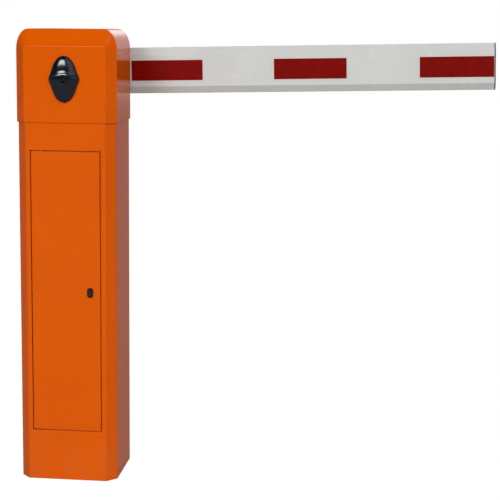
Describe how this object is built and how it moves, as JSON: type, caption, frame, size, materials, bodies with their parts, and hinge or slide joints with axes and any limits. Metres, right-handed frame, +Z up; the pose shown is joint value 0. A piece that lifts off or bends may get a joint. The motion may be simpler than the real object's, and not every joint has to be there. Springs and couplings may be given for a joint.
{
  "type": "parking barrier gate",
  "caption": "Bevelled steel barrier cabinet with a flush door, lift-off hood and release lock, and a straight bevelled boom behind it that swings up.",
  "frame": {"origin": "on the ground, at the centre of the four anchor slots in the base plate", "axes": "+X along the closed boom, from the cabinet towards its tip; +Y from the door to the back, where the boom is; +Z up"},
  "size_m": [1.0579, 0.2895, 1.015],
  "materials": {
    "orange_paint": "smooth semi-gloss powder coat",
    "inner_orange_paint": "smooth semi-gloss powder coat",
    "white_paint": "satin white powder coat",
    "red_reflector": "retro-reflective sheeting with a fine cell pattern",
    "cap_plastic": "fine moulded texture",
    "cover_plastic": "polished black",
    "lock_black": "black finish, slightly worn",
    "lock_barrel": "blackened, worn bright at the key slot",
    "zinc_steel": "bright zinc plating",
    "galvanised": "galvanised, with soft spangle",
    "machined_steel": "turned, lightly oiled",
    "gear_steel": "machined, greased teeth",
    "housing_iron": "sand cast, painted grey",
    "bearing_steel": "ground",
    "cast_aluminium": "die cast",
    "holder_paint": "matt black powder coat",
    "motor_paint": "satin black enamel",
    "spring_paint": "black enamel",
    "rubber": "soft, matt",
    "box_plastic": "light grey, fine grained",
    "gland_plastic": "dark grey nylon",
    "switch_plastic": "black",
    "cam_plastic": "natural nylon",
    "terminal_plastic": "green",
    "board": "green solder mask with black and silver components",
    "capacitor_can": "white can",
    "transformer_iron": "varnished laminations",
    "cable_rubber": "black sheath"
  },
  "bodies": {
    "cabinet": {"base_plate": "galvanised", "bearing_housings": "housing_iron", "cabinet_body": "orange_paint", "cable_glands": "gland_plastic", "capacitor_clip": "galvanised", "control_board": "board", "control_box": "box_plastic", "control_box_lid": "box_plastic", "door_frame": "inner_orange_paint", "door_seal": "rubber", "drive_motor": "motor_paint", "frame_screws": "zinc_steel", "gear_reducer": "cast_aluminium", "limit_switches": "switch_plastic", "mechanism_frame": "galvanised", "motor_capacitor": "capacitor_can", "motor_end_cap": "motor_paint", "motor_lead": "cable_rubber", "pivot_brackets": "zinc_steel", "rear_bearing_plate": "galvanised", "release_bracket": "galvanised", "shaft_bearings": "bearing_steel", "slot_cover": "inner_orange_paint", "spring_bracket": "galvanised", "spring_eye_bolt": "zinc_steel", "spring_nuts": "zinc_steel", "stop_brackets": "galvanised", "stop_buffers": "rubber", "terminal_blocks": "terminal_plastic", "transformer": "transformer_iron"},
    "boom_arm": {"boom_shaft": "machined_steel", "shaft_keys": "machined_steel", "sector_gear": "gear_steel", "limit_cam": "cam_plastic", "balance_lever": "zinc_steel", "lever_pin": "machined_steel", "hub_flange": "machined_steel", "hub_screws": "zinc_steel", "boom_holder": "holder_paint", "boom": "white_paint", "boom_clamp_plate": "holder_paint", "boom_bolts": "zinc_steel", "boom_end_caps": "cap_plastic", "reflective_strips": "red_reflector"},
    "pinion": {"drive_pinion": "gear_steel"},
    "spring_link": {"spring_rod": "zinc_steel", "balance_spring": "spring_paint"},
    "door": {"door_panel": "orange_paint", "pivot_pins": "machined_steel", "door_stiffeners": "inner_orange_paint", "door_lock_body": "lock_black", "door_lock_nut": "zinc_steel"},
    "door_lock": {"door_lock_barrel": "lock_barrel", "door_lock_cam": "zinc_steel"},
    "hood": {"hood": "orange_paint", "release_cover": "cover_plastic", "release_lock_body": "lock_black", "release_lock_nut": "zinc_steel"},
    "release_key": {"release_barrel": "lock_barrel"},
    "release_spindle": {"release_spindle": "machined_steel"}
  },
  "joints": [
    {"name": "boom_swing", "type": "hinge", "parent": "cabinet", "child": "boom_arm", "pos_m": [0, 0, 0.911], "axis": [0, -1, 0], "range_deg": [0, 88]},
    {"name": "pinion_turn", "type": "hinge", "parent": "cabinet", "child": "pinion", "pos_m": [0.0274, 0, 0.83573], "axis": [0, -1, 0], "range_deg": [-352, 0]},
    {"name": "spring_rod_pivot", "type": "hinge", "parent": "boom_arm", "child": "spring_link", "pos_m": [-0.04596, 0.064, 0.95696], "axis": [0, -1, 0], "range_deg": [-88, 0], "deforming": ["balance_spring"]},
    {"name": "door_swing", "type": "hinge", "parent": "cabinet", "child": "door", "pos_m": [-0.0687, -0.085, 0.4315], "axis": [0, 0, -1], "range_deg": [0, 110]},
    {"name": "door_lock_turn", "type": "hinge", "parent": "door", "child": "door_lock", "pos_m": [0.0544, -0.085, 0.4325], "axis": [0, -1, 0], "range_deg": [0, 90]},
    {"name": "hood_lift", "type": "slide", "parent": "cabinet", "child": "hood", "axis": [0, 0, 1], "range_m": [0, 0.25]},
    {"name": "release_key_turn", "type": "hinge", "parent": "hood", "child": "release_key", "pos_m": [0, -0.09, 0.911], "axis": [0, -1, 0], "range_deg": [0, 90]},
    {"name": "release_spindle_turn", "type": "hinge", "parent": "cabinet", "child": "release_spindle", "pos_m": [0, -0.05, 0.911], "axis": [0, -1, 0], "range_deg": [0, 90]}
  ],
  "couplings": [
    {"joint": "pinion_turn", "follows": "boom_swing", "ratio": -4},
    {"joint": "spring_rod_pivot", "follows": "boom_swing", "ratio": -1},
    {"joint": "release_spindle_turn", "follows": "release_key_turn", "ratio": 1}
  ]
}
